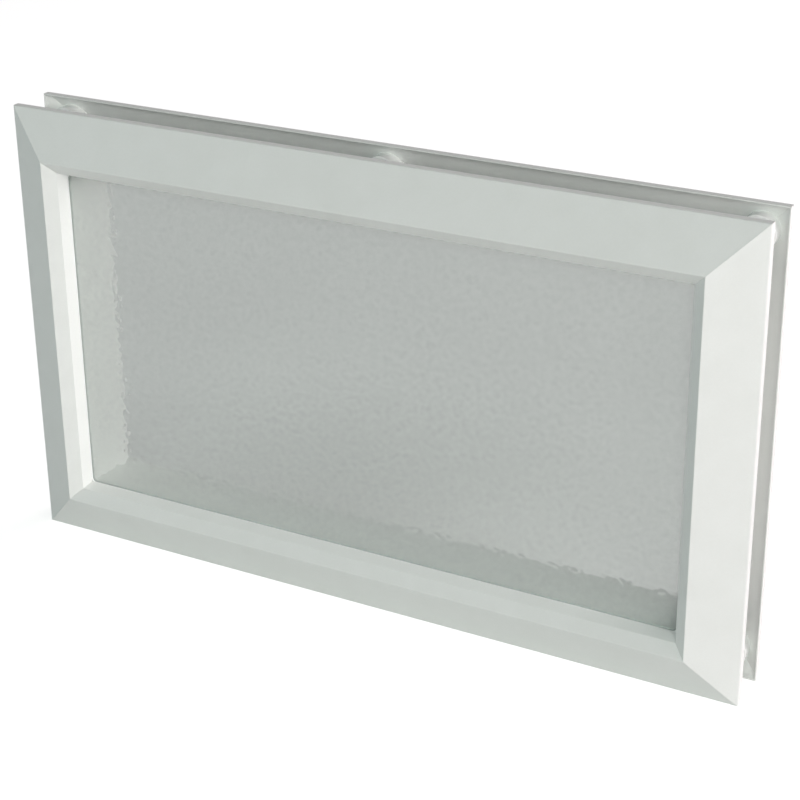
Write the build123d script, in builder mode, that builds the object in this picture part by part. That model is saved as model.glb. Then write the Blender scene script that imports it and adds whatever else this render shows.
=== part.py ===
from build123d import *
import os
from math import hypot

# Garage door window: two framed halves clamp a door panel between them, and hold
# one textured pane. Z is up, and -Y is outdoors. The origin is the middle of the
# bottom edge, half way through the door panel. Millimetres.

# Outline of both frames
outer_width = 490.0
outer_height = 290.0
# Thickness of the door panel that the two frames clamp
panel_thickness = 25.0

# Section of a rail, from the outer edge inwards: a lip square to the door,
# a bevel that rises to the crest, and two splayed facets down to the pane
wall = 1.8
lip_depth = 5.0
bevel_run = 29.2
bevel_rise = 14.4
upper_facet_run = 7.3
upper_facet_drop = 5.9
lower_facet_run = 2.5
lower_facet_drop = 6.85
lip_radius = 1.2
crest_radius = 0.6

# Glazing rebate behind the outer frame's facets
rebate_width = 6.1
rebate_depth = 5.2
pane_thickness = 3.0
pane_edge_clearance = 0.6
pane_corner_radius = 3.0
seal_thickness = 1.2
seal_corner_radius = 2.5

# Screwed joints: at each corner and at the middle of the long sides
screw_inset = 17.0
socket_radius = 10.5
socket_wall = 2.2
socket_reach = 2.0
socket_depth = 9.2
socket_floor = 2.0
post_radius = 6.0
post_end_clearance = 0.2
screw_radius = 2.0
screw_length = 16.0
thread_clearance = 0.1
shank_clearance = 0.25
tip_length = 2.5
tip_radius = 0.6
pilot_depth = 18.0
head_radius = 3.5
head_height = 2.2
head_clearance = 0.4
head_edge_radius = 0.8
drive_width = 1.1
drive_span = 4.2
drive_depth = 1.3

# Places along Y, measured from the middle of the door panel
rim_y = panel_thickness / 2
lip_y = rim_y + lip_depth
crest_y = lip_y + bevel_rise
fold_y = crest_y - upper_facet_drop
glazing_y = fold_y - lower_facet_drop
pane_front_y = -glazing_y + seal_thickness
pane_back_y = pane_front_y + pane_thickness
collar_front_y = pane_back_y + seal_thickness
socket_rim_y = rim_y - socket_reach
socket_floor_y = socket_rim_y + socket_depth
head_seat_y = socket_floor_y + socket_floor
post_end_y = socket_floor_y - post_end_clearance

# Places across a rail, measured inwards from its outer edge
crest_inset = bevel_run
fold_inset = crest_inset + upper_facet_run
glazing_inset = fold_inset + lower_facet_run
rebate_inset = glazing_inset - rebate_width
pane_inset = rebate_inset + pane_edge_clearance
collar_inset = glazing_inset - wall
pilot_radius = screw_radius + thread_clearance
recess_radius = head_radius + head_clearance

outdoors = -1
indoors = 1

# Each side of a frame: the middle of its outer edge, the way inwards, its length
sides = {
    "top": (Vector(0, 0, outer_height), Vector(0, 0, -1), outer_width),
    "bottom": (Vector(0, 0, 0), Vector(0, 0, 1), outer_width),
    "left": (Vector(-outer_width / 2, 0, outer_height / 2), Vector(1, 0, 0), outer_height),
    "right": (Vector(outer_width / 2, 0, outer_height / 2), Vector(-1, 0, 0), outer_height),
}

# Each screwed joint: where its axis is in X and Z, and the sides whose bevels it meets
left_x = -outer_width / 2 + screw_inset
right_x = outer_width / 2 - screw_inset
low_z = screw_inset
high_z = outer_height - screw_inset
joints = {
    "top_left": (left_x, high_z, ("top", "left")),
    "top_middle": (0, high_z, ("top",)),
    "top_right": (right_x, high_z, ("top", "right")),
    "bottom_left": (left_x, low_z, ("bottom", "left")),
    "bottom_middle": (0, low_z, ("bottom",)),
    "bottom_right": (right_x, low_z, ("bottom", "right")),
}

os.makedirs("parts", exist_ok=True)


def finish(part, name):
    """Label a finished piece and write it."""
    part.label = name
    export_step(part, f"parts/{name}.step")


def section_plane(side):
    """Plane across a rail: local X runs inwards from the outer edge, local Y is +Y."""
    edge, inward, length = sides[side]
    return Plane(origin=edge, x_dir=inward, z_dir=inward.cross(Vector(0, 1, 0)))


def mitre_planes(side):
    """The two planes at 45 degrees that end a rail, facing away from it."""
    edge, inward, length = sides[side]
    run = inward.cross(Vector(0, 1, 0))
    return [
        Plane(origin=edge + end * run * (length / 2), z_dir=inward + end * run)
        for end in (-1, 1)
    ]


def bevel_back_plane(side, facing):
    """Plane of the hollow face of a bevel, facing out of the hollow."""
    edge, inward, length = sides[side]
    slant = hypot(bevel_run, bevel_rise)
    back_y = lip_y - wall * slant / bevel_run
    across = Vector(0, facing * bevel_run, 0) - inward * bevel_rise
    return Plane(origin=edge + Vector(0, facing * back_y, 0), z_dir=across)


def across_plane(y):
    """Plane square to the screws at the given Y: local X is +X and local Y is +Z."""
    return Plane(origin=(0, y, 0), x_dir=(1, 0, 0), z_dir=(0, -1, 0))


def face_outline(facing):
    """Corners of the visible face of a rail, as inset and Y, from rim to pane."""
    return [
        (0, facing * rim_y),
        (0, facing * lip_y),
        (crest_inset, facing * crest_y),
        (fold_inset, facing * fold_y),
        (glazing_inset, facing * glazing_y),
    ]


outer_outline = face_outline(outdoors) + [
    (rebate_inset, -glazing_y),
    (rebate_inset, -glazing_y + rebate_depth),
]
inner_outline = face_outline(indoors) + [(glazing_inset, collar_front_y)]

# Rails: a shell of even wall behind its visible face, mitred at both ends.
# The outer rails end in the glazing rebate and the inner rails in the collar
# that lines the cut-out and presses on the pane.
frames = (
    ("outer", outdoors, outer_outline, Side.LEFT),
    ("inner", indoors, inner_outline, Side.RIGHT),
)
for frame_name, facing, outline, hollow_side in frames:
    for side, (edge, inward, length) in sides.items():
        with BuildPart() as rail:
            with BuildSketch(section_plane(side)) as section:
                with BuildLine():
                    Polyline(*outline)
                    offset(amount=wall, side=hollow_side, kind=Kind.INTERSECTION)
                make_face()
                corners = section.vertices()
                lip_corner = corners.sort_by_distance((0, facing * lip_y))[0]
                fillet(lip_corner, lip_radius)
                corners = section.vertices()
                crest_corner = corners.sort_by_distance((crest_inset, facing * crest_y))[0]
                fillet(crest_corner, crest_radius)
            extrude(amount=length / 2, both=True)
            for mitre in mitre_planes(side):
                split(bisect_by=mitre, keep=Keep.BOTTOM)
            if facing == indoors:
                with BuildSketch(across_plane(head_seat_y)):
                    with Locations(*[(x, z) for x, z, met in joints.values() if side in met]):
                        Circle(recess_radius)
                extrude(amount=-(crest_y - head_seat_y), mode=Mode.SUBTRACT)
        finish(rail.part, f"{frame_name}_rail_{side}")

# Pane: one sheet in the rebate, with a little room round its edge
with BuildPart() as pane:
    with BuildSketch(across_plane(pane_back_y)):
        with Locations((0, outer_height / 2)):
            RectangleRounded(
                outer_width - 2 * pane_inset,
                outer_height - 2 * pane_inset,
                pane_corner_radius,
            )
    extrude(amount=pane_thickness)
finish(pane.part, "pane")

# Seals: a flat ring in front of the pane and a narrower one behind it
seals = (
    ("outer_seal", pane_inset, pane_front_y),
    ("inner_seal", collar_inset, collar_front_y),
)
for name, seal_inset, back_y in seals:
    with BuildPart() as seal:
        with BuildSketch(across_plane(back_y)):
            with Locations((0, outer_height / 2)):
                Rectangle(outer_width - 2 * seal_inset, outer_height - 2 * seal_inset)
                RectangleRounded(
                    outer_width - 2 * glazing_inset,
                    outer_height - 2 * glazing_inset,
                    seal_corner_radius,
                    mode=Mode.SUBTRACT,
                )
        extrude(amount=seal_thickness)
    finish(seal.part, name)

for joint, (x, z, met) in joints.items():
    # Post: a tube on the outer frame, from the back of its bevel into the socket
    with BuildPart() as post:
        with BuildSketch(across_plane(post_end_y)):
            with Locations((x, z)):
                Circle(post_radius)
        extrude(amount=post_end_y + crest_y)
        for side in met:
            split(bisect_by=bevel_back_plane(side, outdoors), keep=Keep.BOTTOM)
        with BuildSketch(across_plane(post_end_y)):
            with Locations((x, z)):
                Circle(pilot_radius)
        extrude(amount=pilot_depth, mode=Mode.SUBTRACT)
    finish(post.part, f"post_{joint}")

    # Socket: a cup on the back of the inner frame's bevel that reaches a little into
    # the door panel and centres the post, with a floor for the screw head and a recess
    # for it from indoors
    with BuildPart() as socket:
        with BuildSketch(across_plane(socket_rim_y)):
            with Locations((x, z)):
                Circle(socket_radius)
        extrude(amount=-(crest_y - socket_rim_y))
        for side in met:
            split(bisect_by=bevel_back_plane(side, indoors), keep=Keep.BOTTOM)
        with BuildSketch(across_plane(socket_rim_y)):
            with Locations((x, z)):
                Circle(socket_radius - socket_wall)
        extrude(amount=-socket_depth, mode=Mode.SUBTRACT)
        with BuildSketch(across_plane(socket_floor_y)):
            with Locations((x, z)):
                Circle(screw_radius + shank_clearance)
        extrude(amount=-socket_floor, mode=Mode.SUBTRACT)
        with BuildSketch(across_plane(head_seat_y)):
            with Locations((x, z)):
                Circle(recess_radius)
        extrude(amount=-(crest_y - head_seat_y), mode=Mode.SUBTRACT)
    finish(socket.part, f"socket_{joint}")

    # Screw: pan head with a cross recess, plain shank and a tapered tip
    with BuildPart() as screw:
        with BuildSketch(across_plane(head_seat_y)):
            with Locations((x, z)):
                Circle(head_radius)
        extrude(amount=-head_height)
        head_edge = screw.edges().sort_by(Axis.Y)[-1]
        fillet(head_edge, head_edge_radius)
        with BuildSketch(across_plane(head_seat_y)):
            with Locations((x, z)):
                Circle(screw_radius)
        extrude(amount=screw_length - tip_length)
        with BuildSketch(across_plane(head_seat_y - screw_length + tip_length)):
            with Locations((x, z)):
                Circle(screw_radius)
        with BuildSketch(across_plane(head_seat_y - screw_length)):
            with Locations((x, z)):
                Circle(tip_radius)
        loft()
        with BuildSketch(across_plane(head_seat_y + head_height)):
            with Locations((x, z)):
                Rectangle(drive_span, drive_width)
                Rectangle(drive_width, drive_span)
        extrude(amount=drive_depth, mode=Mode.SUBTRACT)
    finish(screw.part, f"screw_{joint}")
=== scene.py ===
"""Visual model of a garage door window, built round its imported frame.

Two frames of mitred white mouldings clamp a door panel between them and hold one
hammered pane. X runs to the right as seen from outdoors, -Y is outdoors and Z is
up. All sizes are in metres.
"""

import logging
import math
from dataclasses import dataclass, field
from enum import Enum
from typing import Iterable, Sequence

import bmesh
import bpy
import numpy as np
from mathutils import Matrix, Vector


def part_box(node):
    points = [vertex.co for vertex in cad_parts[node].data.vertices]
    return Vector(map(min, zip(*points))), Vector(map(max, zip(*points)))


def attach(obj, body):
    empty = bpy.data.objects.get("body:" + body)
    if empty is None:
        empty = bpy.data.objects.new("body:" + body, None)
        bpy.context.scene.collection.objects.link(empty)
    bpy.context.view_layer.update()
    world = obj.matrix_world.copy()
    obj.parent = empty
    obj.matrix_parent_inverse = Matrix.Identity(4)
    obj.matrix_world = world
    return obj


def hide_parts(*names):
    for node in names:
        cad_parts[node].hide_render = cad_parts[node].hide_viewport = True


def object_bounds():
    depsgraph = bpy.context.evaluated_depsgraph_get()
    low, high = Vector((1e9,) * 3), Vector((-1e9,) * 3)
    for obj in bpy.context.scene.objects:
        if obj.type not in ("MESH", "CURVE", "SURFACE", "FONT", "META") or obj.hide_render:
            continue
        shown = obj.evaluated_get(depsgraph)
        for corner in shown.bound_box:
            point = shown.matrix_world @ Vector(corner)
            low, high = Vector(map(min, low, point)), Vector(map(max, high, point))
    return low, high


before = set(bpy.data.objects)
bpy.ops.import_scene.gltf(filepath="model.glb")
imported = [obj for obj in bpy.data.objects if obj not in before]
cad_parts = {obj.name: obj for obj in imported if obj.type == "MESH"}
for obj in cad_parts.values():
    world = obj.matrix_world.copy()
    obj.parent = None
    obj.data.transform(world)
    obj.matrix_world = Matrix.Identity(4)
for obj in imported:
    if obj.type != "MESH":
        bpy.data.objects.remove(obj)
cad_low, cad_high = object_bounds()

log = logging.getLogger("garage_door_window")

MM = 0.001
BODY = "root"
RELIEF = "relief"
NEAR = 1e-6
SAME_PLACE = 1e-7

Point = tuple[float, float]
Colour = tuple[float, float, float]


class Facing(Enum):
    """The way a frame shows its visible face, as a sign along Y."""

    OUTDOORS = -1
    INDOORS = 1


class Place(Enum):
    """A place on the window that the frame's nodes are named after."""

    @property
    def label(self) -> str:
        """The place's name as the frame's nodes have it."""
        return self.name.lower()


class Side(Place):
    """The four sides of a frame, each as the X and Z of its way inwards."""

    TOP = (0, -1)
    BOTTOM = (0, 1)
    LEFT = (1, 0)
    RIGHT = (-1, 0)

    @property
    def inward(self) -> Vector:
        """Direction from the outer edge to the pane."""
        return Vector((self.value[0], 0, self.value[1]))

    @property
    def run(self) -> Vector:
        """Direction along the moulding."""
        return self.inward.cross(Vector((0, 1, 0)))


class Joint(Place):
    """The six screwed joints, each with the mouldings that it stands behind."""

    TOP_LEFT = (Side.TOP, Side.LEFT)
    TOP_MIDDLE = (Side.TOP,)
    TOP_RIGHT = (Side.TOP, Side.RIGHT)
    BOTTOM_LEFT = (Side.BOTTOM, Side.LEFT)
    BOTTOM_MIDDLE = (Side.BOTTOM,)
    BOTTOM_RIGHT = (Side.BOTTOM, Side.RIGHT)

    @property
    def axis(self) -> Point:
        """X and Z of the screw's axis, read from the frame."""
        low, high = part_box(f"screw_{self.label}")
        return (low.x + high.x) / 2, (low.z + high.z) / 2


class Slot(Enum):
    """Material slots of the record."""

    PLASTIC = "frame_plastic"
    PANE = "pane"
    RUBBER = "seal_rubber"
    STEEL = "screw_steel"


@dataclass(frozen=True)
class MouldingSection:
    """Section of both mouldings, from the outer edge inwards.

    A lip square to the door, a bevel up to the crest, and two splayed facets down
    to the pane.
    """

    rim_y: float = field(default_factory=lambda: abs(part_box("outer_rail_top")[1].y))
    wall: float = 1.8 * MM
    rim_wall: float = 0.9 * MM
    lip_depth: float = 5.0 * MM
    bevel_run: float = 29.2 * MM
    bevel_rise: float = 14.4 * MM
    upper_facet_run: float = 7.3 * MM
    upper_facet_drop: float = 5.9 * MM
    lower_facet_run: float = 2.5 * MM
    lower_facet_drop: float = 6.85 * MM
    rebate_width: float = 6.1 * MM
    rebate_depth: float = 5.2 * MM
    lip_radius: float = 1.2 * MM
    crest_radius: float = 0.6 * MM
    fold_radius: float = 0.5 * MM
    edge_radius: float = 0.25 * MM
    mitre_edge: float = 0.12 * MM
    recess_radius: float = 3.9 * MM

    @property
    def lip_y(self) -> float:
        """Depth at which the lip turns into the bevel."""
        return self.rim_y + self.lip_depth

    @property
    def crest_y(self) -> float:
        """Depth of the crest."""
        return self.lip_y + self.bevel_rise

    @property
    def fold_y(self) -> float:
        """Depth of the fold between the two facets."""
        return self.crest_y - self.upper_facet_drop

    @property
    def glazing_y(self) -> float:
        """Depth at which the facets end."""
        return self.fold_y - self.lower_facet_drop

    @property
    def fold_inset(self) -> float:
        """Inset of the fold between the two facets."""
        return self.bevel_run + self.upper_facet_run

    @property
    def glazing_inset(self) -> float:
        """Inset at which the facets end."""
        return self.fold_inset + self.lower_facet_run

    def face(self, facing: Facing) -> list[Point]:
        """Corners of the visible face.

        Args:
            facing: the frame's visible side.

        Returns:
            Insets and depths, from the rim to the pane.
        """
        sign = facing.value
        return [
            (0, sign * self.rim_y),
            (0, sign * self.lip_y),
            (self.bevel_run, sign * self.crest_y),
            (self.fold_inset, sign * self.fold_y),
            (self.glazing_inset, sign * self.glazing_y),
        ]

    def tail(self, facing: Facing) -> list[Point]:
        """What follows the visible face on the hidden side.

        Args:
            facing: the frame's visible side.

        Returns:
            The glazing rebate of the outer frame, or the inner frame's collar.
        """
        if facing is Facing.INDOORS:
            return [(self.glazing_inset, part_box("inner_rail_top")[0].y)]
        rebate_inset = self.glazing_inset - self.rebate_width
        return [
            (rebate_inset, -self.glazing_y),
            (rebate_inset, -self.glazing_y + self.rebate_depth),
        ]

    def back_plane(self, side: Side, facing: Facing, edge: Vector) -> tuple[Vector, Vector]:
        """Plane of the hollow face of a bevel.

        Args:
            side: the side of the frame.
            facing: the frame's visible side.
            edge: a point of that side's outer edge.

        Returns:
            A point of the plane and its normal, which points out of the hollow.
        """
        slant = math.hypot(self.bevel_run, self.bevel_rise)
        back_y = self.lip_y - self.wall * slant / self.bevel_run
        normal = Vector((0, facing.value * self.bevel_run, 0)) - side.inward * self.bevel_rise
        return edge + Vector((0, facing.value * back_y, 0)), normal.normalized()


@dataclass(frozen=True)
class Outline:
    """Outer rectangle of both frames."""

    half_width: float = field(default_factory=lambda: (cad_high.x - cad_low.x) / 2)
    height: float = field(default_factory=lambda: cad_high.z - cad_low.z)

    def edge(self, side: Side) -> Vector:
        """Middle of a side's outer edge."""
        middle = Vector((0, 0, self.height / 2))
        reach = self.half_width if side.inward.x else self.height / 2
        return middle - side.inward * reach

    def length(self, side: Side) -> float:
        """Length of a side's outer edge."""
        return self.height if side.inward.x else 2 * self.half_width


class Tree:
    """Short calls for the nodes of a material, a world or a node group."""

    def __init__(self, tree: bpy.types.NodeTree) -> None:
        """Keep the tree, emptied of its default nodes."""
        self.tree = tree
        tree.nodes.clear()

    def add(self, kind: str, settings: dict | None = None, **inputs: object) -> bpy.types.Node:
        """Add one node.

        Args:
            kind: the node's type name.
            settings: attributes of the node.
            inputs: values or output sockets for its inputs, with _ for a space.

        Returns:
            The new node.
        """
        node = self.tree.nodes.new(kind)
        for name, value in (settings or {}).items():
            setattr(node, name, value)
        for name, value in inputs.items():
            self.feed(node.inputs[name.replace("_", " ")], value)
        return node

    def feed(self, socket: bpy.types.NodeSocket, value: object) -> None:
        """Link a socket to an output, or set its value."""
        if isinstance(value, bpy.types.NodeSocket):
            self.tree.links.new(value, socket)
        else:
            socket.default_value = value

    def maths(self, operation: str, *values: object) -> bpy.types.NodeSocket:
        """Result of a Math node on up to three values or sockets."""
        node = self.add("ShaderNodeMath", {"operation": operation})
        for socket, value in zip(node.inputs, values):
            self.feed(socket, value)
        return node.outputs[0]

    def noise(self, vector: object, scale: object, detail: float = 2.0) -> bpy.types.NodeSocket:
        """Factor of a noise texture of the given scale and detail."""
        node = self.add("ShaderNodeTexNoise", Vector=vector, Scale=scale, Detail=detail)
        return node.outputs["Fac"]

    def spread(self, value: object, low: float, high: float) -> bpy.types.NodeSocket:
        """A noise factor stretched about its middle to the range from low to high."""
        node = self.add("ShaderNodeMapRange", Value=value, From_Min=0.3, From_Max=0.7)
        self.feed(node.inputs["To Min"], low)
        self.feed(node.inputs["To Max"], high)
        return node.outputs["Result"]

    def blend(self, factor: object, first: Colour, second: Colour) -> bpy.types.NodeSocket:
        """Colour between two colours."""
        node = self.add("ShaderNodeMix", {"data_type": "RGBA"})
        for socket, value in zip(
            (node.inputs[0], node.inputs[6], node.inputs[7]),
            (factor, (*first, 1.0), (*second, 1.0)),
        ):
            self.feed(socket, value)
        return node.outputs[2]

    def bump(self, height: object, depth: float, **inputs: object) -> bpy.types.NodeSocket:
        """Normal bent by a height of the given depth."""
        node = self.add("ShaderNodeBump", Strength=1.0, Distance=depth, Height=height, **inputs)
        return node.outputs["Normal"]

    def mixed(self, factor: object, first: bpy.types.Node, second: bpy.types.Node) -> object:
        """Shader between those of two nodes."""
        node = self.add("ShaderNodeMixShader")
        for socket, value in zip(node.inputs, (factor, first.outputs[0], second.outputs[0])):
            self.feed(socket, value)
        return node.outputs["Shader"]


class SurfaceGroups:
    """Node groups for the effects that several finishes share."""

    coarser: float = 0.35
    speck_share: float = 0.35

    def __init__(self) -> None:
        """Build each group once."""
        self.grain = self._grain()
        self.sink_marks = self._sink_marks()

    def add_grain(self, tree: Tree, depth: float, **scales: float) -> tuple:
        """Place the grain in a material.

        Args:
            tree: the material's tree.
            depth: the depth of the grain.
            scales: values for the group's inputs, with _ for a space.

        Returns:
            The tone and the normal.
        """
        grain = tree.add("ShaderNodeGroup", {"node_tree": self.grain}, **scales)
        return grain.outputs["Tone"], tree.bump(grain.outputs["Height"], depth)

    @staticmethod
    def _group(name: str, inputs: dict[str, float], outputs: Sequence[str]) -> tuple:
        """Start a node group.

        Args:
            name: the group's name.
            inputs: its float inputs with their defaults.
            outputs: its float outputs.

        Returns:
            The group, its Tree, and its input and output nodes.
        """
        group = bpy.data.node_groups.new(name, "ShaderNodeTree")
        for label, value in inputs.items():
            socket = group.interface.new_socket(label, in_out="INPUT", socket_type="NodeSocketFloat")
            socket.default_value = value
        for label in outputs:
            group.interface.new_socket(label, in_out="OUTPUT", socket_type="NodeSocketFloat")
        tree = Tree(group)
        return group, tree, tree.add("NodeGroupInput"), tree.add("NodeGroupOutput")

    def _grain(self) -> bpy.types.NodeTree:
        """Fine grain over a slow ripple, with a cloudy tone, as on moulded plastic."""
        group, tree, given, result = self._group(
            "moulded_grain",
            {"Grain Scale": 2500.0, "Ripple Scale": 260.0, "Cloud Scale": 45.0, "Ripple Share": 0.4},
            ("Height", "Tone"),
        )
        place = tree.add("ShaderNodeTexCoord").outputs["Object"]
        grain = tree.noise(place, given.outputs["Grain Scale"], detail=3.0)
        ripple = tree.noise(place, given.outputs["Ripple Scale"], detail=1.0)
        cloud = tree.noise(place, given.outputs["Cloud Scale"], detail=4.0)
        height = tree.add("ShaderNodeMix", Factor=given.outputs["Ripple Share"], A=grain, B=ripple)
        speck_scale = tree.maths("MULTIPLY", given.outputs["Grain Scale"], self.coarser)
        speck = tree.noise(place, speck_scale)
        tone = tree.add("ShaderNodeMix", Factor=self.speck_share, A=cloud, B=speck)
        tree.feed(result.inputs["Height"], height.outputs[0])
        tree.feed(result.inputs["Tone"], tone.outputs[0])
        return group

    def _sink_marks(self) -> bpy.types.NodeTree:
        """Shallow dimples on the mouldings in front of the six posts."""
        group, tree, given, result = self._group(
            "sink_marks",
            {"Reach X": 0.2, "Reach Z": 0.1, "Middle Z": 0.1, "Radius": 0.006},
            ("Height",),
        )
        place = tree.add("ShaderNodeTexCoord").outputs["Object"]
        parts = tree.add("ShaderNodeSeparateXYZ", Vector=place)
        across = tree.maths("ABSOLUTE", parts.outputs["X"])
        to_corner = tree.maths("ABSOLUTE", tree.maths("SUBTRACT", across, given.outputs["Reach X"]))
        off_x = tree.maths("MINIMUM", across, to_corner)
        above = tree.maths("SUBTRACT", parts.outputs["Z"], given.outputs["Middle Z"])
        off_z = tree.maths("SUBTRACT", tree.maths("ABSOLUTE", above), given.outputs["Reach Z"])
        squares = tree.maths("MULTIPLY_ADD", off_z, off_z, tree.maths("MULTIPLY", off_x, off_x))
        distance = tree.maths("SQRT", squares)
        dimple = tree.add(
            "ShaderNodeMapRange",
            {"interpolation_type": "SMOOTHERSTEP"},
            Value=distance,
            From_Min=0.0,
            From_Max=given.outputs["Radius"],
        )
        tree.feed(result.inputs["Height"], dimple.outputs["Result"])
        return group


@dataclass(frozen=True)
class GrainedFinish:
    """Finish with a cloudy tone, an uneven gloss and fine grain."""

    groups: SurfaceGroups
    name: str
    light: Colour
    dark: Colour
    gloss: Point
    grain_depth: float
    grain_scale: float = 2500.0
    cloud_scale: float = 45.0
    metallic: float = 0.0

    def material(self) -> bpy.types.Material:
        """Build the finish."""
        material, tree = new_material(self.name)
        scales = {"Grain_Scale": self.grain_scale, "Cloud_Scale": self.cloud_scale}
        tone, skin = self.groups.add_grain(tree, self.grain_depth, **scales)
        shader = tree.add(
            "ShaderNodeBsdfPrincipled",
            Base_Color=tree.blend(tree.spread(tone, 0.0, 1.0), self.dark, self.light),
            Roughness=tree.spread(tone, *self.gloss),
            Metallic=self.metallic,
            IOR=1.5,
            Normal=self._marked(tree, skin),
        )
        tree.add("ShaderNodeOutputMaterial", Surface=shader.outputs["BSDF"])
        return material

    def _marked(self, tree: Tree, skin: bpy.types.NodeSocket) -> bpy.types.NodeSocket:
        """Normal of the grain, with the marks that the finish adds to it."""
        return skin


@dataclass(frozen=True)
class SatinPlastic(GrainedFinish):
    """White moulded plastic with a satin skin and sink marks."""

    name: str = "satin_plastic"
    light: Colour = (0.88, 0.895, 0.875)
    dark: Colour = (0.84, 0.855, 0.83)
    gloss: Point = (0.36, 0.47)
    grain_depth: float = 0.02 * MM
    sink_depth: float = 0.05 * MM
    sink_radius: float = 6.5 * MM
    outline: Outline = field(default_factory=Outline)

    def _marked(self, tree: Tree, skin: bpy.types.NodeSocket) -> bpy.types.NodeSocket:
        """Normal of the grain, with a sink mark in front of each post."""
        x, z = Joint.TOP_RIGHT.axis
        middle = self.outline.height / 2
        sink = tree.add(
            "ShaderNodeGroup",
            {"node_tree": self.groups.sink_marks},
            Reach_X=x,
            Reach_Z=z - middle,
            Middle_Z=middle,
            Radius=self.sink_radius,
        )
        return tree.bump(sink.outputs["Height"], self.sink_depth, Normal=skin)


@dataclass(frozen=True)
class PolishedPlasticPaintedBright(SatinPlastic):
    """The same plastic where the tool leaves it smooth, on posts and sockets, with a lighter base
    colour as a painted highlight that brightens the socket rings.
    """

    name: str = "polished_plastic_painted_bright"
    # Lighter than the satin plastic: a painted highlight on the socket rings.
    light: Colour = (0.93, 0.94, 0.925)
    dark: Colour = (0.9, 0.91, 0.895)
    gloss: Point = (0.14, 0.22)
    grain_depth: float = 0.003 * MM


@dataclass(frozen=True)
class SealRubber(GrainedFinish):
    """Pale grey sealing strip, matt and a little dusty."""

    name: str = "seal_rubber"
    light: Colour = (0.88, 0.89, 0.875)
    dark: Colour = (0.80, 0.81, 0.80)
    gloss: Point = (0.7, 0.85)
    grain_depth: float = 0.03 * MM
    cloud_scale: float = 300.0


@dataclass(frozen=True)
class ZincSteel(GrainedFinish):
    """Bright, mottled zinc on the screws."""

    name: str = "zinc_steel"
    light: Colour = (0.70, 0.71, 0.72)
    dark: Colour = (0.50, 0.51, 0.52)
    gloss: Point = (0.22, 0.4)
    grain_depth: float = 0.01 * MM
    grain_scale: float = 4000.0
    cloud_scale: float = 900.0
    metallic: float = 1.0


@dataclass(frozen=True)
class HammeredAcrylic:
    """Clear sheet with a grey tint, whose relief is in its mesh."""

    groups: SurfaceGroups
    thin_tint: Colour = (0.660, 0.688, 0.670)
    thick_tint: Colour = (0.574, 0.602, 0.586)
    lamp_tint: Colour = (0.755, 0.785, 0.77)
    clear: float = 0.86
    roughness: float = 0.05
    haze_depth: float = 0.008 * MM
    haze_scale: float = 900.0

    def material(self) -> bpy.types.Material:
        """Build the finish.

        Returns:
            A tinted glass that lets lamps through, darker where the relief leaves it
            thicker, with a faint haze.
        """
        material, tree = new_material("hammered_acrylic")
        haze = self.groups.add_grain(tree, self.haze_depth, Grain_Scale=self.haze_scale)[1]
        relief = tree.add("ShaderNodeAttribute", {"attribute_name": RELIEF})
        sheet = tree.add(
            "ShaderNodeBsdfPrincipled",
            Base_Color=tree.blend(relief.outputs["Fac"], self.thin_tint, self.thick_tint),
            Roughness=self.roughness,
            IOR=1.49,
            Transmission_Weight=self.clear,
            Normal=haze,
        )
        lamps = tree.add("ShaderNodeBsdfTransparent", Color=(*self.lamp_tint, 1.0))
        path = tree.add("ShaderNodeLightPath")
        mix = tree.mixed(path.outputs["Is Shadow Ray"], sheet, lamps)
        tree.add("ShaderNodeOutputMaterial", Surface=mix)
        return material


def new_material(name: str) -> tuple[bpy.types.Material, Tree]:
    """Start an empty material of the given name, with its Tree."""
    material = bpy.data.materials.new(name)
    material.use_nodes = True
    return material, Tree(material.node_tree)


def linked(name: str, data: bpy.types.ID) -> bpy.types.Object:
    """New object in the scene with the given data."""
    thing = bpy.data.objects.new(name, data)
    bpy.context.scene.collection.objects.link(thing)
    return thing


def soften(bm: bmesh.types.BMesh, edges: Iterable, offset: float, segments: int) -> None:
    """Round edges.

    Args:
        bm: the mesh.
        edges: the edges to round.
        offset: how far the rounding reaches along each face.
        segments: how many strips make it.
    """
    bmesh.ops.bevel(
        bm,
        geom=list(edges),
        offset=offset,
        offset_type="OFFSET",
        segments=segments,
        profile=0.5,
        affect="EDGES",
        clamp_overlap=False,
        material=-1,
    )


def cut_away(bm: bmesh.types.BMesh, point: Vector, normal: Vector) -> None:
    """Remove what lies beyond a plane, and close the cut.

    Args:
        bm: the mesh.
        point: a point of the plane.
        normal: its normal, on the side that goes.
    """
    cut = bmesh.ops.bisect_plane(
        bm,
        geom=bm.verts[:] + bm.edges[:] + bm.faces[:],
        dist=SAME_PLACE,
        plane_co=point,
        plane_no=normal,
        clear_outer=True,
    )["geom_cut"]
    edges = [e for e in cut if isinstance(e, bmesh.types.BMEdge)]
    bmesh.ops.triangle_fill(bm, use_beauty=True, use_dissolve=True, edges=edges)


def bored(bm: bmesh.types.BMesh, drill: bmesh.types.BMesh) -> bmesh.types.BMesh:
    """Take a drill's shape out of a solid.

    Args:
        bm: the solid, which is used up.
        drill: the shape to take out, which is used up.

    Returns:
        The bored solid.
    """
    holders = []
    for name, shape in (("solid", bm), ("drill", drill)):
        mesh = bpy.data.meshes.new(name)
        shape.to_mesh(mesh)
        shape.free()
        holders.append(linked(name, mesh))
    solid, tool = holders
    bore = solid.modifiers.new("bore", "BOOLEAN")
    bore.operation = "DIFFERENCE"
    bore.solver = "EXACT"
    bore.object = tool
    result = bmesh.new()
    result.from_object(solid, bpy.context.evaluated_depsgraph_get())
    for holder in holders:
        mesh = holder.data
        bpy.data.objects.remove(holder)
        bpy.data.meshes.remove(mesh)
    return result


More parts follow.
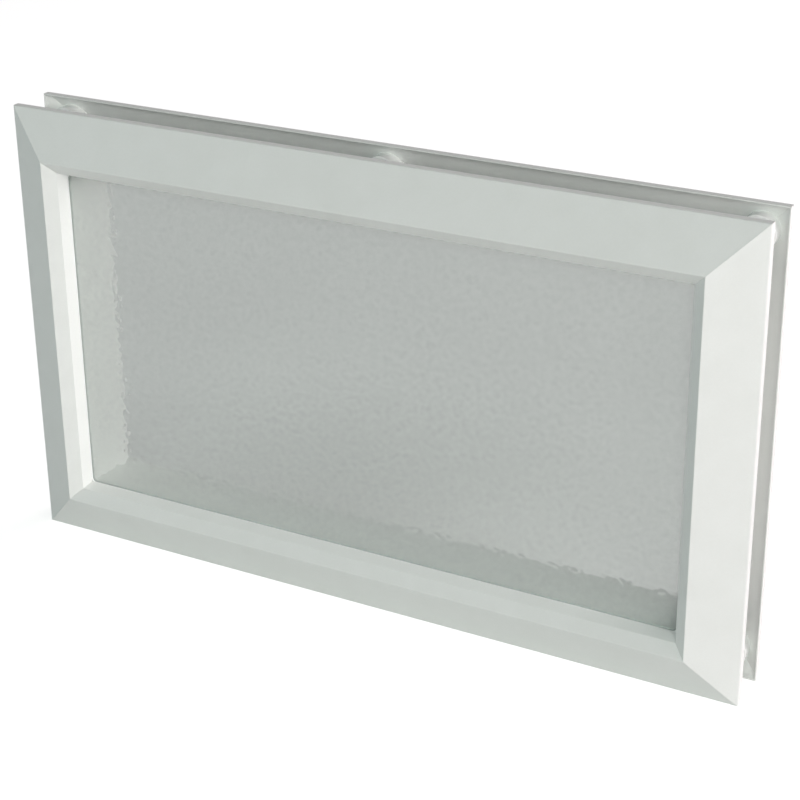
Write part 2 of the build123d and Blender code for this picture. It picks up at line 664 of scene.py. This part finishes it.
def revolved(points: Sequence[Point], segments: int) -> bmesh.types.BMesh:
    """Turn an outline round the Y axis.

    Args:
        points: radius and Y of the outline's corners, which is closed if it doesn't
            start on the axis.
        segments: how many steps make the turn.

    Returns:
        A closed solid.
    """
    bm = bmesh.new()
    verts = [bm.verts.new((radius, y, 0)) for radius, y in points]
    pairs = list(zip(verts, verts[1:]))
    if points[0][0] > 0:
        pairs.append((verts[-1], verts[0]))
    edges = [bm.edges.new(pair) for pair in pairs]
    bmesh.ops.spin(
        bm,
        geom=verts + edges,
        cent=(0, 0, 0),
        axis=(0, 1, 0),
        angle=2 * math.pi,
        steps=segments,
        use_merge=True,
    )
    bmesh.ops.remove_doubles(bm, verts=bm.verts, dist=SAME_PLACE)
    bmesh.ops.recalc_face_normals(bm, faces=bm.faces)
    return bm


def circle_edges(bm: bmesh.types.BMesh, radius: float, y: float) -> list:
    """Edges of a revolved solid that lie on one circle round the Y axis."""
    return [
        edge
        for edge in bm.edges
        if all(
            abs(v.co.y - y) < NEAR and abs(math.hypot(v.co.x, v.co.z) - radius) < NEAR
            for v in edge.verts
        )
    ]


def finish_piece(
    bm: bmesh.types.BMesh,
    name: str,
    nodes: Sequence[str],
    material: bpy.types.Material,
    crease: float = 38.0,
) -> bpy.types.Object:
    """Make a piece of the window from a mesh.

    Args:
        bm: the finished mesh, which is used up.
        name: the piece's name.
        nodes: the frame's nodes that it stands for.
        material: its finish.
        crease: angle in degrees from which an edge stays sharp.

    Returns:
        The piece.
    """
    mesh = bpy.data.meshes.new(name)
    for face in bm.faces:
        face.smooth = True
    bm.to_mesh(mesh)
    bm.free()
    mesh.set_sharp_from_angle(angle=math.radians(crease))
    mesh.materials.append(material)
    piece = linked(name, mesh)
    even = piece.modifiers.new("even_normals", "WEIGHTED_NORMAL")
    even.keep_sharp = True
    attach(piece, BODY)
    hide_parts(*nodes)
    log.info("%s: %d faces, for %s", name, len(mesh.polygons), ", ".join(nodes))
    return piece


@dataclass
class MouldedFrame:
    """One frame of four mitred mouldings."""

    name: str
    facing: Facing
    section: MouldingSection
    outline: Outline
    plastic: bpy.types.Material
    lip_segments: int = 6
    crest_segments: int = 4
    edge_segments: int = 2
    recess_segments: int = 48
    sharp_from: float = 20.0

    def build(self) -> list[bpy.types.Object]:
        """Build the four mouldings, one for each side."""
        return [self._moulding(side) for side in Side]

    def _moulding(self, side: Side) -> bpy.types.Object:
        """Build the moulding of one side and close its mitred ends."""
        length = self.outline.length(side)
        bm = self._strip(length)
        self._round_long_edges(bm)
        inward, run = side.inward, side.run
        place = Matrix((inward, (0, 1, 0), run)).transposed().to_4x4()
        place.translation = self.outline.edge(side)
        bm.transform(place)
        if self.facing is Facing.INDOORS:
            bm = self._with_recesses(bm, side)
        for end in (-1, 1):
            corner = self.outline.edge(side) + end * run * (length / 2)
            normal = (inward + end * run).normalized()
            cut_away(bm, corner, normal)
            self._soften_mitre(bm, corner, normal)
        bmesh.ops.recalc_face_normals(bm, faces=bm.faces)
        node = f"{self.name}_rail_{side.label}"
        return finish_piece(bm, f"{node}_moulding", [node], self.plastic)

    def _strip(self, length: float) -> bmesh.types.BMesh:
        """Straight shell along local Z, with X as the inset and Y as the depth.

        The hidden face of its lip has a draft, so the wall is thinner at the rim.
        """
        corners = self.section.face(self.facing) + self.section.tail(self.facing)
        bm = bmesh.new()
        verts = [bm.verts.new((inset, y, -length / 2)) for inset, y in corners]
        edges = [bm.edges.new(pair) for pair in zip(verts, verts[1:])]
        drawn = bmesh.ops.extrude_edge_only(bm, edges=edges)["geom"]
        far = [v for v in drawn if isinstance(v, bmesh.types.BMVert)]
        bmesh.ops.translate(bm, verts=far, vec=(0, 0, length))
        bmesh.ops.recalc_face_normals(bm, faces=bm.faces)
        lip = min(bm.faces, key=lambda face: face.calc_center_median().x)
        if lip.normal.x > 0:
            bmesh.ops.reverse_faces(bm, faces=bm.faces)
        bmesh.ops.solidify(bm, geom=bm.faces[:], thickness=self.section.wall)
        bmesh.ops.recalc_face_normals(bm, faces=bm.faces)
        rim_back = (self.section.wall, corners[0][1])
        for vertex in {v for edge in long_edges_at(bm, rim_back) for v in edge.verts}:
            vertex.co.x = self.section.rim_wall
        return bm

    def _round_long_edges(self, bm: bmesh.types.BMesh) -> None:
        """Round the visible corners of the section along the whole strip."""
        rim, lip, crest, fold, glazing = self.section.face(self.facing)
        for corner, before, after, radius, segments in (
            (lip, rim, crest, self.section.lip_radius, self.lip_segments),
            (crest, lip, fold, self.section.crest_radius, self.crest_segments),
            (fold, crest, glazing, self.section.fold_radius, self.edge_segments),
        ):
            reach = radius * math.tan(turn_angle(before, corner, after) / 2)
            soften(bm, long_edges_at(bm, corner), reach, segments)
        rim_back = (self.section.rim_wall, rim[1])
        edges = [rim, rim_back]
        if self.facing is Facing.OUTDOORS:
            edges.append(glazing)
        for corner in edges:
            soften(bm, long_edges_at(bm, corner), self.section.edge_radius, self.edge_segments)

    def _with_recesses(self, bm: bmesh.types.BMesh, side: Side) -> bmesh.types.BMesh:
        """Bore the recesses of the screw heads through the bevel, from indoors."""
        for joint in Joint:
            if side not in joint.value:
                continue
            x, z = joint.axis
            seat_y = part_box(f"socket_{joint.label}")[0].y
            far_y = self.section.crest_y + self.section.wall
            radius = self.section.recess_radius
            outline = [(0, seat_y), (radius, seat_y), (radius, far_y), (0, far_y)]
            drill = revolved(outline, self.recess_segments)
            bmesh.ops.translate(drill, verts=drill.verts, vec=(x, 0, z))
            bm = bored(bm, drill)
        return bm

    def _soften_mitre(self, bm: bmesh.types.BMesh, corner: Vector, normal: Vector) -> None:
        """Break the edges of a mitred end, so that the joint shows as a fine line."""
        rim = [
            edge
            for edge in bm.edges
            if len(edge.link_faces) == 2
            and all(abs((v.co - corner).dot(normal)) < NEAR for v in edge.verts)
            and edge.calc_face_angle(0.0) > math.radians(self.sharp_from)
        ]
        soften(bm, rim, self.section.mitre_edge, self.edge_segments)


def turn_angle(before: Point, corner: Point, after: Point) -> float:
    """Angle by which an outline turns at a corner, in radians."""
    arriving = Vector(corner) - Vector(before)
    leaving = Vector(after) - Vector(corner)
    return arriving.angle(leaving)


def long_edges_at(bm: bmesh.types.BMesh, corner: Point) -> list:
    """Edges along local Z that stand on one corner of the section."""
    return [
        edge
        for edge in bm.edges
        if all(
            abs(v.co.x - corner[0]) < NEAR and abs(v.co.y - corner[1]) < NEAR for v in edge.verts
        )
    ]


@dataclass
class HammeredPane:
    """The sheet in the rebate, with its outdoor face hammered."""

    section: MouldingSection
    outline: Outline
    acrylic: bpy.types.Material
    grid_step: float = 0.98 * MM
    margin: float = 0.5 * MM
    pebble: float = 3.5 * MM
    spread: float = 0.29
    relief: float = 0.3 * MM
    jitter: float = 0.2
    smallest: float = 0.75
    level_steps: float = 1.5
    cells_near: int = 2
    percentiles: Point = (1, 99)
    crease: float = 60.0
    seed: int = 7

    def build(self) -> bpy.types.Object:
        """Build the pane, a closed sheet with one hammered face."""
        low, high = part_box("pane")
        centre_z = (low.z + high.z) / 2
        opening_x = self.outline.half_width - self.section.glazing_inset + self.margin
        opening_z = self.outline.height / 2 - self.section.glazing_inset + self.margin
        columns = round(2 * opening_x / self.grid_step)
        rows = round(2 * opening_z / self.grid_step)
        bm = bmesh.new()
        bmesh.ops.create_grid(bm, x_segments=columns, y_segments=rows, size=1.0)
        bmesh.ops.scale(bm, verts=bm.verts, vec=(opening_x, opening_z, 1))
        self._hammer(bm, opening_x, opening_z)
        upright = Matrix.Rotation(math.pi / 2, 4, "X")
        upright.translation = (0, low.y, centre_z)
        bm.transform(upright)
        self._close(bm, low, high)
        bmesh.ops.recalc_face_normals(bm, faces=bm.faces)
        return finish_piece(bm, "pane_sheet", ["pane"], self.acrylic, self.crease)

    def _hammer(self, bm: bmesh.types.BMesh, half_x: float, half_z: float) -> None:
        """Sink the grid between rounded pebbles, and level it at its edge."""
        thickness = bm.verts.layers.float.new(RELIEF)
        centres, sizes = self._pebbles(half_x, half_z)
        points = np.array([v.co[:2] for v in bm.verts])
        field_height = np.zeros(len(points))
        cells: dict[tuple[int, int], list[int]] = {}
        for index, (x, z) in enumerate(points):
            key = (int((x + half_x) / self.pebble), int((z + half_z) / self.pebble))
            cells.setdefault(key, []).append(index)
        reach = range(-self.cells_near, self.cells_near + 1)
        width = self.spread * self.pebble
        for (x, z), size in zip(centres, sizes):
            key_x, key_z = int((x + half_x) // self.pebble), int((z + half_z) // self.pebble)
            near = [
                index
                for across in reach
                for up in reach
                for index in cells.get((key_x + across, key_z + up), ())
            ]
            if near:
                away = np.sum((points[near] - (x, z)) ** 2, axis=1)
                field_height[near] += size * np.exp(-away / (2 * width**2))
        low, high = np.percentile(field_height, self.percentiles)
        height = np.clip((field_height - low) / (high - low), 0, 1)
        edge = np.minimum(half_x - np.abs(points[:, 0]), half_z - np.abs(points[:, 1]))
        level = np.clip(edge / (self.level_steps * self.grid_step), 0, 1)
        hollow = (1 - height) * level
        for vertex, share in zip(bm.verts, hollow):
            vertex.co.z = -self.relief * share
            vertex[thickness] = 1 - share

    def _pebbles(self, half_x: float, half_z: float) -> tuple[np.ndarray, np.ndarray]:
        """Middles of the pebbles, on a loosened triangular pattern, and their sizes."""
        random = np.random.default_rng(self.seed)
        row_step = self.pebble * math.sqrt(3) / 2
        centres = [
            (x + (row % 2) * self.pebble / 2, row * row_step)
            for row in range(-int(half_z / row_step) - 1, int(half_z / row_step) + 2)
            for x in np.arange(-half_x - self.pebble, half_x + self.pebble, self.pebble)
        ]
        loose = random.normal(0, self.jitter * self.pebble, (len(centres), 2))
        sizes = random.uniform(self.smallest, 1.0, len(centres))
        return np.array(centres) + loose, sizes

    def _close(self, bm: bmesh.types.BMesh, low: Vector, high: Vector) -> None:
        """Give the hammered face its flat rim, its edges and its back."""
        inner = [e for e in bm.edges if e.is_boundary]
        rim = bmesh.ops.extrude_edge_only(bm, edges=inner)["geom"]
        middle_z = (low.z + high.z) / 2
        half_x, half_z = (high.x - low.x) / 2, (high.z - low.z) / 2
        ring = [v for v in rim if isinstance(v, bmesh.types.BMVert)]
        reach_x = max(abs(v.co.x) for v in ring)
        reach_z = max(abs(v.co.z - middle_z) for v in ring)
        for vertex in ring:
            vertex.co.x *= half_x / reach_x
            vertex.co.z = middle_z + (vertex.co.z - middle_z) * half_z / reach_z
        outer = [e for e in rim if isinstance(e, bmesh.types.BMEdge)]
        sides = bmesh.ops.extrude_edge_only(bm, edges=outer)["geom"]
        back = [v for v in sides if isinstance(v, bmesh.types.BMVert)]
        bmesh.ops.translate(bm, verts=back, vec=(0, high.y - low.y, 0))
        far = [e for e in sides if isinstance(e, bmesh.types.BMEdge)]
        bmesh.ops.contextual_create(bm, geom=far)


@dataclass
class Seals:
    """The flat strips in front of the pane and behind it."""

    section: MouldingSection
    outline: Outline
    rubber: bpy.types.Material
    corner_radius: float = 2.5 * MM
    edge_radius: float = 0.25 * MM
    corner_segments: int = 8
    edge_segments: int = 2
    sharp_from: float = 60.0

    def build(self) -> list[bpy.types.Object]:
        """Build both seals, the outer one first."""
        return [self._seal(node) for node in ("outer_seal", "inner_seal")]

    def _seal(self, node: str) -> bpy.types.Object:
        """Build one strip: a ring with rounded corners, as thick as its node."""
        low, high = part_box(node)
        inner_x = self.outline.half_width - self.section.glazing_inset
        inner_z = self.outline.height / 2 - self.section.glazing_inset
        width = high.x - inner_x
        bm = bmesh.new()
        bmesh.ops.create_grid(bm, x_segments=1, y_segments=1, size=1.0)
        bmesh.ops.scale(bm, verts=bm.verts, vec=(high.x, inner_z + width, 1))
        bmesh.ops.bevel(
            bm,
            geom=bm.verts[:],
            offset=self.corner_radius + width,
            offset_type="OFFSET",
            segments=self.corner_segments,
            profile=0.5,
            affect="VERTICES",
            material=-1,
        )
        bmesh.ops.inset_region(
            bm,
            faces=bm.faces[:],
            thickness=width,
            use_even_offset=True,
            use_boundary=True,
        )
        middle = max(bm.faces, key=lambda face: face.calc_area())
        bmesh.ops.delete(bm, geom=[middle], context="FACES_ONLY")
        bmesh.ops.solidify(bm, geom=bm.faces[:], thickness=high.y - low.y)
        bmesh.ops.recalc_face_normals(bm, faces=bm.faces)
        sharp = math.radians(self.sharp_from)
        corners = [e for e in bm.edges if e.calc_face_angle(0.0) > sharp]
        soften(bm, corners, self.edge_radius, self.edge_segments)
        bm.transform(Matrix.Rotation(math.pi / 2, 4, "X"))
        lowest = min(v.co.y for v in bm.verts)
        bmesh.ops.translate(
            bm, verts=bm.verts, vec=(0, low.y - lowest, self.outline.height / 2)
        )
        return finish_piece(bm, f"{node}_strip", [node], self.rubber)


@dataclass
class ScrewedJoint:
    """Post, socket and screw of one joint."""

    joint: Joint
    section: MouldingSection
    outline: Outline
    plastic: bpy.types.Material
    steel: bpy.types.Material
    socket_radius: float = 10.5 * MM
    socket_wall: float = 2.2 * MM
    socket_depth: float = 9.2 * MM
    socket_floor: float = 2.0 * MM
    shank_hole: float = 2.25 * MM
    rim_radius: float = 0.5 * MM
    post_radius: float = 6.0 * MM
    pilot_radius: float = 2.1 * MM
    pilot_depth: float = 18.0 * MM
    post_edge: float = 0.6 * MM
    head_radius: float = 3.5 * MM
    head_height: float = 2.2 * MM
    head_side: float = 0.9 * MM
    shank_radius: float = 2.0 * MM
    core_radius: float = 1.5 * MM
    thread_pitch: float = 1.4 * MM
    root_share: float = 0.35
    crest_share: float = 0.65
    tip_length: float = 2.5 * MM
    tip_radius: float = 0.8 * MM
    tip_point: float = 0.2 * MM
    head_steps: int = 8
    cross_span: float = 4.2 * MM
    cross_width: float = 1.1 * MM
    cross_depth: float = 1.5 * MM
    cross_taper: float = 0.7
    segments: int = 64
    post_segments: int = 3
    bore_segments: int = 2
    rim_segments: int = 4

    def build(self) -> list[bpy.types.Object]:
        """Build the post, the socket and the screw."""
        return [self._post(), self._socket(), self._screw()]

    def _trim(self, bm: bmesh.types.BMesh, facing: Facing) -> None:
        """Move a revolved solid to the joint and cut it at the mouldings behind it."""
        x, z = self.joint.axis
        bmesh.ops.translate(bm, verts=bm.verts, vec=(x, 0, z))
        for side in self.joint.value:
            point, normal = self.section.back_plane(side, facing, self.outline.edge(side))
            cut_away(bm, point, normal)
        bmesh.ops.recalc_face_normals(bm, faces=bm.faces)

    def _post(self) -> bpy.types.Object:
        """Tube on the back of the outer frame, into the socket."""
        node = f"post_{self.joint.label}"
        end_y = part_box(node)[1].y
        far_y = -self.section.crest_y
        bm = revolved(
            [
                (0, far_y),
                (self.post_radius, far_y),
                (self.post_radius, end_y),
                (self.pilot_radius, end_y),
                (self.pilot_radius, end_y - self.pilot_depth),
                (0, end_y - self.pilot_depth),
            ],
            self.segments,
        )
        outer = circle_edges(bm, self.post_radius, end_y)
        soften(bm, outer, self.post_edge, self.post_segments)
        inner = circle_edges(bm, self.pilot_radius, end_y)
        soften(bm, inner, self.post_edge / 2, self.bore_segments)
        self._trim(bm, Facing.OUTDOORS)
        return finish_piece(bm, f"{node}_tube", [node], self.plastic)

    def _socket(self) -> bpy.types.Object:
        """Cup on the back of the inner frame, with the seat of the screw head."""
        node = f"socket_{self.joint.label}"
        rim_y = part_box(node)[0].y
        floor_y = rim_y + self.socket_depth
        seat_y = floor_y + self.socket_floor
        far_y = self.section.crest_y
        bore = self.socket_radius - self.socket_wall
        bm = revolved(
            [
                (bore, rim_y),
                (self.socket_radius, rim_y),
                (self.socket_radius, far_y),
                (self.section.recess_radius, far_y),
                (self.section.recess_radius, seat_y),
                (self.shank_hole, seat_y),
                (self.shank_hole, floor_y),
                (bore, floor_y),
            ],
            self.segments,
        )
        for radius in (self.socket_radius, bore):
            edges = circle_edges(bm, radius, rim_y)
            soften(bm, edges, self.rim_radius, self.rim_segments)
        self._trim(bm, Facing.INDOORS)
        return finish_piece(bm, f"{node}_cup", [node], self.plastic)

    def _screw(self) -> bpy.types.Object:
        """Pan head screw with a cross recess and a threaded shank."""
        node = f"screw_{self.joint.label}"
        low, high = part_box(node)
        seat_y = high.y - self.head_height
        x, z = self.joint.axis
        bm = revolved(self._screw_outline(low.y, seat_y, high.y), self.segments)
        bmesh.ops.translate(bm, verts=bm.verts, vec=(x, 0, z))
        for turn in (0, 1):
            bm = bored(bm, self._cross_arm(Vector((x, high.y, z)), turn * math.pi / 2))
        return finish_piece(bm, f"{node}_pan_head", [node], self.steel)

    def _screw_outline(self, tip_y: float, seat_y: float, top_y: float) -> list[Point]:
        """Half outline of the screw, from its tip to the middle of its head."""
        thread_start = tip_y + self.tip_length
        thread_end = seat_y - self.thread_pitch
        outline = [(0, tip_y), (self.tip_radius, tip_y + self.tip_point)]
        turns = int((thread_end - thread_start) / self.thread_pitch)
        for turn in range(turns):
            root_y = thread_start + turn * self.thread_pitch
            outline += [
                (self.core_radius, root_y),
                (self.core_radius, root_y + self.root_share * self.thread_pitch),
                (self.shank_radius, root_y + self.crest_share * self.thread_pitch),
            ]
        outline += [
            (self.core_radius, thread_start + turns * self.thread_pitch),
            (self.core_radius, seat_y),
            (self.head_radius, seat_y),
            (self.head_radius, seat_y + self.head_side),
        ]
        for step in range(1, self.head_steps):
            angle = step / self.head_steps * math.pi / 2
            radius = self.head_radius * math.cos(angle)
            rise = (self.head_height - self.head_side) * math.sin(angle)
            outline.append((radius, seat_y + self.head_side + rise))
        outline.append((0, top_y))
        return outline

    def _cross_arm(self, top: Vector, turn: float) -> bmesh.types.BMesh:
        """One arm of the cross recess, tapered towards its floor."""
        bm = bmesh.new()
        bmesh.ops.create_cube(bm, size=1.0)
        for vertex in bm.verts:
            narrow = self.cross_taper if vertex.co.y < 0 else 1.0
            vertex.co.x *= self.cross_span * narrow
            vertex.co.z *= self.cross_width * narrow
            vertex.co.y *= 2 * self.cross_depth
        bm.transform(Matrix.Translation(top) @ Matrix.Rotation(turn, 4, "Y"))
        return bm


@dataclass(frozen=True)
class Camera:
    """The photograph's viewpoint, from a fit to the window's edges."""

    place: Vector = Vector((0.5373, -0.9350, 0.6187))
    yaw: float = 29.08
    pitch: float = 24.23
    roll: float = -0.61
    lens: float = 88.08
    sensor: float = 36.0
    clip: Point = (0.01, 50.0)

    def build(self) -> None:
        """Set up the scene's camera."""
        data = bpy.data.cameras.new("camera")
        data.lens = self.lens
        data.sensor_width = self.sensor
        data.clip_start, data.clip_end = self.clip
        camera = linked("camera", data)
        turn = (
            Matrix.Rotation(math.radians(self.yaw), 4, "Z")
            @ Matrix.Rotation(math.radians(90 - self.pitch), 4, "X")
            @ Matrix.Rotation(math.radians(self.roll), 4, "Z")
        )
        camera.matrix_world = Matrix.Translation(self.place) @ turn
        bpy.context.scene.camera = camera


@dataclass(frozen=True)
class SoftLamp:
    """Large rectangular lamp far off, aimed at the window.

    Its azimuth turns it from straight outdoors towards the right. Both angles are in
    degrees.
    """

    name: str
    azimuth: float
    elevation: float
    power: float
    colour: Colour = (1.0, 1.0, 1.0)
    distance: float = 5.0
    size: Point = (3.0, 2.0)
    aim: Vector = Vector((0.0, 0.0, 0.14))

    def build(self) -> None:
        """Set up the lamp."""
        data = bpy.data.lights.new(self.name, "AREA")
        data.shape = "RECTANGLE"
        data.size, data.size_y = self.size
        data.energy = self.power
        data.color = self.colour
        lamp = linked(self.name, data)
        turn = Matrix.Rotation(math.radians(self.azimuth), 3, "Z")
        rise = Matrix.Rotation(math.radians(-self.elevation), 3, "X")
        place = self.aim + turn @ rise @ Vector((0, -self.distance, 0))
        facing = (self.aim - place).to_track_quat("-Z", "Y")
        lamp.matrix_world = Matrix.Translation(place) @ facing.to_matrix().to_4x4()


@dataclass
class Studio:
    """White floor, pale surroundings and soft lamps, most of them on the right."""

    floor_size: float = 14.0
    floor_drop: float = 0.2 * MM
    floor_colour: Colour = (0.82, 0.82, 0.81)
    floor_lift: float = 0.70
    floor_share: float = 0.886
    mirror_share: float = 0.64
    # Painted shade behind the window, which dims the floor's white where gloss and glass show it.
    painted_shade_place: Point = (-0.11, 0.10)
    painted_shade_reach: float = 0.26
    painted_shade_depth: float = 0.372
    ambient: Colour = (0.07, 0.07, 0.07)
    lamps: tuple[SoftLamp, ...] = (
        SoftLamp("key_right", 84, 5, 139.0, (1.0, 0.914, 0.954)),
        SoftLamp("key_front", 30, 25, 121.0, (0.955, 1.0, 0.955)),
        SoftLamp("left_fill", -65, 16, 15.0, (0.45, 0.93, 1.0)),
        SoftLamp("rear", 150, 15, 163.0, (1.0, 0.896, 0.932)),
    )

    def build(self) -> None:
        """Set up the floor, the world and the lamps."""
        self._floor()
        self._world()
        for lamp in self.lamps:
            lamp.build()
        bpy.context.scene.view_settings.view_transform = "Standard"

    def _seen(self, tree: Tree, shade: object = 1.0) -> bpy.types.NodeSocket:
        """Share of the surroundings' own white that each kind of ray shows.

        Args:
            tree: the material or world that needs it.
            shade: what is left of it on the floor, where a painted shade dims the floor's white
                behind the window.

        Returns:
            One for the camera, less in gloss and glass, and nought for rays that light.
        """
        path = tree.add("ShaderNodeLightPath")
        mirrored = tree.maths(
            "MAXIMUM", path.outputs["Is Glossy Ray"], path.outputs["Is Transmission Ray"]
        )
        dimmed = tree.maths("MULTIPLY", mirrored, self.mirror_share)
        shaded = tree.maths("MULTIPLY", dimmed, shade)
        return tree.maths("MAXIMUM", path.outputs["Is Camera Ray"], shaded)

    def _floor(self) -> None:
        """Pale floor that keeps the window's cast shadow and shows white, with a painted shade
        behind the window in gloss and glass.
        """
        bm = bmesh.new()
        bmesh.ops.create_grid(bm, x_segments=1, y_segments=1, size=self.floor_size / 2)
        mesh = bpy.data.meshes.new("floor")
        bm.to_mesh(mesh)
        bm.free()
        mesh.transform(Matrix.Translation((0, 0, cad_low.z - self.floor_drop)))
        floor = linked("floor", mesh)
        material, tree = new_material("pale_floor")
        paper = tree.add("ShaderNodeBsdfDiffuse", Color=(*self.floor_colour, 1.0))
        # Painted shade: the floor's white seen in gloss and glass fades towards a point behind the
        # window.
        offset = tree.add("ShaderNodeVectorMath", {"operation": "SUBTRACT"})
        tree.feed(offset.inputs[0], tree.add("ShaderNodeTexCoord").outputs["Object"])
        tree.feed(offset.inputs[1], (*self.painted_shade_place, 0.0))
        reach = tree.add("ShaderNodeVectorMath", {"operation": "LENGTH"})
        tree.feed(reach.inputs[0], offset.outputs["Vector"])
        shade = tree.add(
            "ShaderNodeMapRange",
            {"interpolation_type": "SMOOTHSTEP"},
            Value=reach.outputs["Value"],
            From_Min=0.0,
            From_Max=self.painted_shade_reach,
            To_Min=self.painted_shade_depth,
            To_Max=self.floor_share,
        )
        lift = tree.add(
            "ShaderNodeEmission",
            Color=(1.0, 1.0, 1.0, 1.0),
            Strength=tree.maths(
                "MULTIPLY", self._seen(tree, shade.outputs["Result"]), self.floor_lift
            ),
        )
        both = tree.add("ShaderNodeAddShader")
        tree.feed(both.inputs[0], paper.outputs["BSDF"])
        tree.feed(both.inputs[1], lift.outputs["Emission"])
        tree.add("ShaderNodeOutputMaterial", Surface=both.outputs["Shader"])
        mesh.materials.append(material)

    def _world(self) -> None:
        """Even pale surroundings, white where they are seen."""
        world = bpy.data.worlds.new("studio")
        world.use_nodes = True
        bpy.context.scene.world = world
        tree = Tree(world.node_tree)
        lit = tree.add("ShaderNodeBackground", Color=(*self.ambient, 1.0), Strength=1.0)
        white = tree.add("ShaderNodeBackground", Color=(1.0, 1.0, 1.0, 1.0), Strength=1.0)
        tree.add("ShaderNodeOutputWorld", Surface=tree.mixed(self._seen(tree), lit, white))


def main() -> None:
    """Build the window and its studio."""
    logging.basicConfig(level=logging.INFO, format="%(name)s: %(message)s")
    Camera().build()
    Studio().build()
    section = MouldingSection()
    outline = Outline()
    groups = SurfaceGroups()
    plastic = SatinPlastic(groups).material()
    polished_painted_bright = PolishedPlasticPaintedBright(groups).material()
    acrylic = HammeredAcrylic(groups).material()
    rubber = SealRubber(groups).material()
    steel = ZincSteel(groups).material()
    MouldedFrame("outer", Facing.OUTDOORS, section, outline, plastic).build()
    MouldedFrame("inner", Facing.INDOORS, section, outline, plastic).build()
    HammeredPane(section, outline, acrylic).build()
    Seals(section, outline, rubber).build()
    for joint in Joint:
        ScrewedJoint(joint, section, outline, polished_painted_bright, steel).build()


if __name__ == "__main__":
    main()
